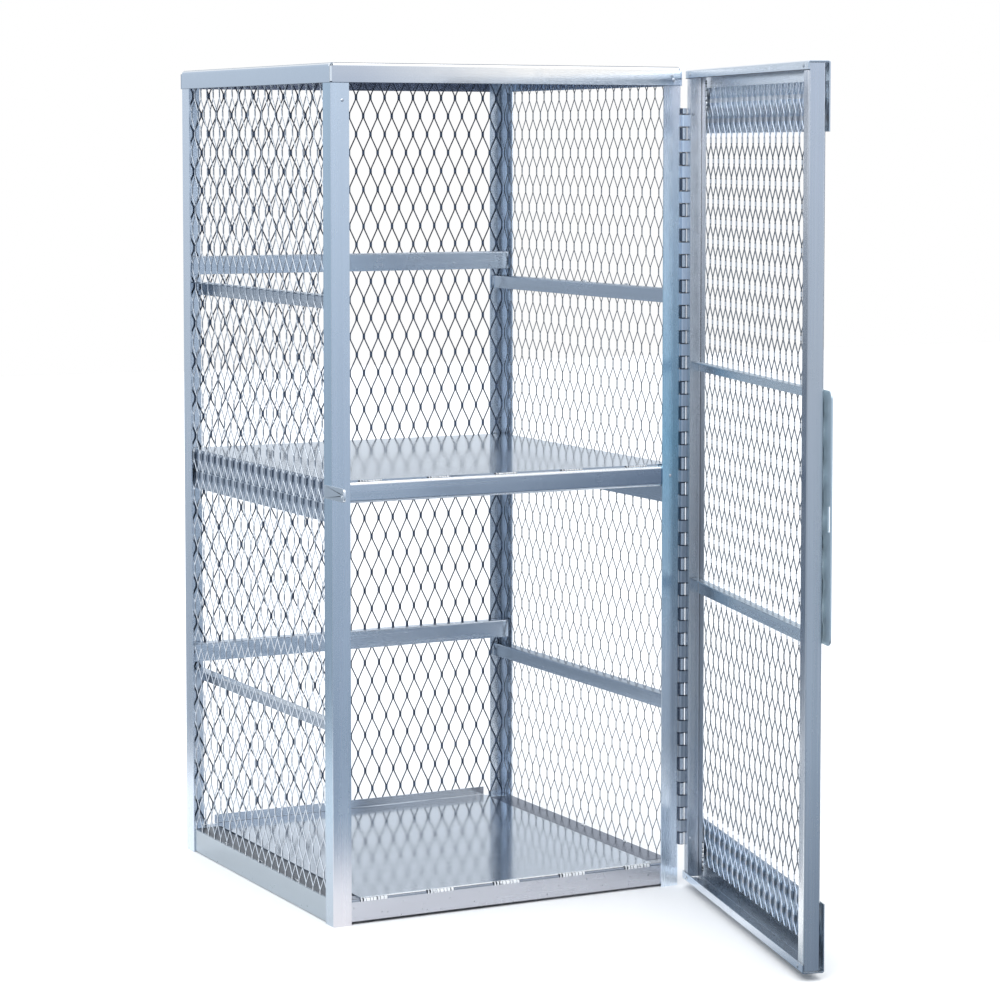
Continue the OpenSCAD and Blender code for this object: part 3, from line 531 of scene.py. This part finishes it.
# ---------------------------------------------------------------- weld beads
def bead(verts, faces, place, length, wide, high, ripple=2.4, step=0.6, seed=0):
    """A rippled fillet bead along t, its root at the corner of two faces; place(t, a, b) puts a point."""
    n = max(6, int(length / step))
    start = len(verts)
    ring = 8
    for i in range(n + 1):
        t = -length / 2 + length * i / n
        e = min(1.0, math.sqrt(max(0.0, 1 - (abs(t) / (length / 2)) ** 8)) + 0.12)
        ph = ((t + 0.3 * math.sin(t * 0.9 + seed)) / ripple) % 1.0
        g = e * (0.88 + 0.12 * math.sin(math.pi * ph) + 0.04 * math.sin(t * 1.7 + seed * 3))
        g = min(g, 1.0)
        verts.append(place(t, 0.0, 0.0))
        for j in range(ring - 1):
            a = math.pi / 2 * j / (ring - 2)
            verts.append(place(t, wide * g * math.cos(a), high * g * math.sin(a)))
    for i in range(n):
        for j in range(ring):
            j2 = (j + 1) % ring
            p, q = start + i * ring + j, start + i * ring + j2
            faces.append((p, q, q + ring, p + ring))
    faces.append(tuple(start + j for j in range(ring - 1, -1, -1)))
    faces.append(tuple(start + n * ring + j for j in range(ring)))


def strip_bead(verts, faces, index, place, outer, inner, length, ripple, seed, crater=-1):
    """A rippled bead along t between an outer and an inner outline of (a, b) points; place(t, a, b) puts a point.
    Each ripple has a lit flank and a dark flank, the dark one painted with the near-black weld material as painted
    shade, and one end sags into a crater where that material stands for soot."""
    step = ripple / 6
    n = int(round(length / step))
    start = len(verts)
    ring = len(outer) + len(inner)
    cx = sum(p[0] for p in inner) / len(inner)
    cy = sum(p[1] for p in inner) / len(inner)
    for i in range(n + 1):
        t = -length / 2 + length * i / n
        ph = ((t + 0.6 * math.sin(t * 0.35 + seed)) / ripple) % 1.0
        end = min(1.0, (length / 2 - abs(t)) / 2.5)
        g = (0.74 + 0.26 * math.sin(math.pi * ph)) * (0.45 + 0.55 * math.sqrt(max(end, 0.0)))
        g *= 0.93 + 0.07 * math.sin(t * 0.8 + seed * 2)
        near = abs(t - crater * (length / 2 - 4.0))
        if near < 4.0:
            g = 0.80 + 0.20 * math.cos(math.pi * near / 8.0)
        for a, b in outer:
            verts.append(place(t, cx + (a - cx) * g, cy + (b - cy) * g))
        for a, b in inner:
            verts.append(place(t, a, b))
    for i in range(n):
        t = -length / 2 + length * (i + 0.5) / n
        ph = ((t + 0.6 * math.sin(t * 0.35 + seed)) / ripple) % 1.0
        near = abs(t - crater * (length / 2 - 4.0))
        # painted shade: the dark flank of each ripple takes the near-black weld material; around the crater the same
        # material stands for soot
        soot_and_shade_mask = 1 if ph > 0.80 or (1.2 < near < 4.4) else 0
        for j in range(ring):
            j2 = (j + 1) % ring
            p, q = start + i * ring + j, start + i * ring + j2
            faces.append((p, q, q + ring, p + ring))
            index.append(soot_and_shade_mask)
    faces.append(tuple(start + j for j in range(ring - 1, -1, -1)))
    faces.append(tuple(start + n * ring + j for j in range(ring)))
    index += [1, 1]


def finish_beads(name, node, verts, faces, index, body):
    o = make(name, verts, faces, [mat_weld, mat_weld_soot_and_shade], index, door=body == "door")
    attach(o, body)
    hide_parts(node)
    return o


FOLD = [(3.0 + 4.5 * (1 - math.cos(math.radians(a))), 49.0 - 4.5 * (1 - math.sin(math.radians(a)))) for a in (0, 30, 60)]
verts, faces, index = [], [], []
for k in range(-2, 3):
    x = 374.0 + k * 146 + k * k
    strip_bead(verts, faces, index, lambda t, a, b, x=x: (x + t, a, b),
               [(5.7, 51.1), (4.4, 51.0), (2.7, 50.0), (1.65, 48.0), (1.55, 46.0), (2.2, 44.0), (2.9, 43.1)],
               [(3.1, 44.5), (3.7, 46.7), (5.7, 48.5)], 59.6, 7.6, k + 3)
finish_beads("beads_floor", "floor_welds", verts, faces, index, "cabinet")

verts, faces, index = [], [], []
for k in range(-2, 3):
    x = 376.0 + k * 146
    strip_bead(verts, faces, index, lambda t, a, b, x=x: (x + t, 11.0 - a, 855.5 + b),
               [(0.0, 2.35), (1.5, 2.1), (2.9, 1.2), (3.5, 0.1)], [(2.0, 0.02), (0.02, 0.02)], 49.6, 5.6, k + 3)
finish_beads("beads_shelf", "shelf_welds", verts, faces, index, "cabinet")

# upright beads between the door's channels and its mesh, behind the end caps
verts, faces, index = [], [], []
for z in (64.0, 1594.0):
    for x, d in ((734.0, -1), (41.2, 1)):
        strip_bead(verts, faces, index, lambda t, a, b, x=x, d=d, z=z: (x + d * a, -38.5 + b, z + t),
                   [(0.05, 1.95), (1.6, 2.7), (3.6, 2.3), (4.9, 1.2), (5.5, 0.1)], [(2.5, 0.05), (0.05, 0.05)],
                   59.6, 9.6, 2 + d, -1 if z < 800 else 1)
finish_beads("beads_door", "door_welds", verts, faces, index, "door")

verts, faces = [], []
for z in (49.0, 391.0, 1210.0):
    for k in range(-1, 2):
        y = 381.0 + k * 181
        bead(verts, faces, lambda t, a, b, y=y, z=z: (7.8 + a, y + t, z + b), 16.0, 3.0, 3.0, seed=k + z)
        bead(verts, faces, lambda t, a, b, y=y, z=z: (754.2 - a, y - t, z + b), 16.0, 3.0, 3.0, seed=k - z)
tacks = make("tack_welds", verts, faces, [mat_weld], smooth=True)
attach(tacks, "cabinet")
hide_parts("mesh_tacks")


# ---------------------------------------------------------------- floor, world and lights
def studio_floor():
    n, half = 24, 14.0
    verts = [(-half + 2 * half * i / n, -half + 2 * half * j / n, 0.0) for j in range(n + 1) for i in range(n + 1)]
    faces = [(j * (n + 1) + i, j * (n + 1) + i + 1, (j + 1) * (n + 1) + i + 1, (j + 1) * (n + 1) + i)
             for j in range(n) for i in range(n)]
    me = bpy.data.meshes.new("studio_floor")
    me.from_pydata(verts, [], faces)
    o = bpy.data.objects.new("studio_floor", me)
    scene.collection.objects.link(o)
    m = bpy.data.materials.new("floor_paper")
    m.use_nodes = True
    t = Tree(m.node_tree)
    co = t.add("ShaderNodeTexCoord").outputs["Object"]
    g = t.noise(co, 3.0, 4.0, 0.5)
    col = t.mix(g, (0.93, 0.935, 0.94, 1), (0.95, 0.95, 0.95, 1))
    p = t.add("ShaderNodeBsdfPrincipled", {"Base Color": col, "Roughness": 0.6, "Specular IOR Level": 0.2})
    # the metal mirrors the paper only close to the cabinet, and the darker room beyond that
    xyz = t.add("ShaderNodeSeparateXYZ", {"Vector": co})
    reach = t.math("ADD", xyz.outputs[1], t.ramp(xyz.outputs[0], 0.72, 0.95, 0.0, 0.36))
    near = t.math("MULTIPLY", t.ramp(reach, -0.62, -0.30), t.ramp(xyz.outputs[0], -1.4, -0.7))
    near = t.math("MULTIPLY", near, t.ramp(xyz.outputs[1], 2.0, 1.4))
    away = t.math("SUBTRACT", 1.0, near, clamp=True)
    glossy = t.add("ShaderNodeLightPath").outputs["Is Glossy Ray"]
    clear = t.add("ShaderNodeBsdfTransparent", {"Color": (1, 1, 1, 1)})
    both = t.add("ShaderNodeMixShader", {0: t.math("MULTIPLY", glossy, away), 1: p.outputs[0], 2: clear.outputs[0]})
    out = t.add("ShaderNodeOutputMaterial")
    t.link(both.outputs[0], out.inputs[0])
    me.materials.append(m)
    return o


studio_floor()

world = bpy.data.worlds.new("studio")
scene.world = world
world.use_nodes = True
t = Tree(world.node_tree)
d = t.add("ShaderNodeTexCoord").outputs["Generated"]
sep = t.add("ShaderNodeSeparateXYZ", {"Vector": d})
x, y, z = sep.outputs[0], sep.outputs[1], sep.outputs[2]
# a room of cool greys: darker low down and at the sides, lighter at eye height and behind, with a bright ceiling
low = t.ramp(z, -0.30, 0.06)
front = t.mix(low, (0.24, 0.33, 0.45, 1), (0.74, 0.84, 0.96, 1))
behind = t.mix(low, (0.30, 0.36, 0.44, 1), (0.80, 0.86, 0.93, 1))
room = t.mix(t.ramp(y, -0.2, 0.4, kind="SMOOTHSTEP"), front, behind)
room = t.mix(t.math("MULTIPLY", t.ramp(x, 0.55, 0.9, kind="SMOOTHSTEP"), 0.75), room, (0.16, 0.20, 0.25, 1))
room = t.mix(t.math("MULTIPLY", t.ramp(x, -0.3, -0.8, kind="SMOOTHSTEP"), 0.5), room, (0.26, 0.32, 0.40, 1))
room = t.mix(t.ramp(z, -0.28, -0.6, kind="SMOOTHSTEP"), room, (0.10, 0.13, 0.17, 1))
# a tall soft screen off to the front right, above eye height
screen = t.math("MULTIPLY", t.ramp(x, 0.41, 0.46, kind="SMOOTHSTEP"), t.ramp(x, 0.545, 0.495, kind="SMOOTHSTEP"))
screen = t.math("MULTIPLY", screen, t.math("MULTIPLY", t.ramp(z, 0.0, 0.04, kind="SMOOTHSTEP"), t.ramp(y, 0.0, -0.2)))
room = t.mix(screen, room, (1.18, 1.13, 1.06, 1))
room = t.mix(t.ramp(z, 0.25, 0.75, kind="SMOOTHSTEP"), room, (1.2, 1.22, 1.25, 1))
seen = t.add("ShaderNodeLightPath").outputs["Is Camera Ray"]
sky = t.mix(seen, room, (1.0, 1.0, 1.0, 1))
bg = t.add("ShaderNodeBackground", {"Color": sky, "Strength": 1.0})
wo = t.add("ShaderNodeOutputWorld")
t.link(bg.outputs[0], wo.inputs[0])


def area(name, at, to, size, power, colour=(1, 1, 1)):
    l = bpy.data.lights.new(name, "AREA")
    l.shape = "RECTANGLE"
    l.size, l.size_y = size
    l.energy = power
    l.color = colour
    o = bpy.data.objects.new(name, l)
    scene.collection.objects.link(o)
    o.location = at
    o.rotation_mode = "QUATERNION"
    o.rotation_quaternion = (Vector(to) - Vector(at)).to_track_quat("-Z", "Y")
    return o


sun = bpy.data.lights.new("overhead", "SUN")
sun.energy = 1.2
sun.angle = math.radians(70)
so = bpy.data.objects.new("overhead", sun)
scene.collection.objects.link(so)
so.rotation_euler = (math.radians(14), math.radians(-10), 0)
area("key", (-3.2, -3.4, 3.4), (0.3, 0.2, 0.8), (2.2, 2.6), 60, (1.0, 1.0, 1.0))
area("fill", (3.6, -2.6, 2.2), (0.6, 0.0, 0.8), (1.6, 2.6), 12, (0.92, 0.96, 1.0))

scene.view_settings.view_transform = "Standard"
scene.view_settings.look = "None"

# ---------------------------------------------------------------- camera
cam_data = bpy.data.cameras.new("camera")
cam = bpy.data.objects.new("camera", cam_data)
scene.collection.objects.link(cam)
scene.camera = cam
YAW, DOWN = 0.4748, math.radians(4.0)
cam.location = (-2.4009, -5.3669, 1.4915)
aim = Vector((math.sin(YAW) * math.cos(DOWN), math.cos(YAW) * math.cos(DOWN), -math.sin(DOWN)))
cam.rotation_mode = "QUATERNION"
cam.rotation_quaternion = aim.to_track_quat("-Z", "Y")
cam_data.sensor_width = 36.0
cam_data.sensor_fit = "HORIZONTAL"
cam_data.lens = 3112.35 * 36.0 / 1000.0
cam_data.shift_y = -(500.0 - 364.88) / 1000.0
cam_data.clip_start, cam_data.clip_end = 0.05, 60.0
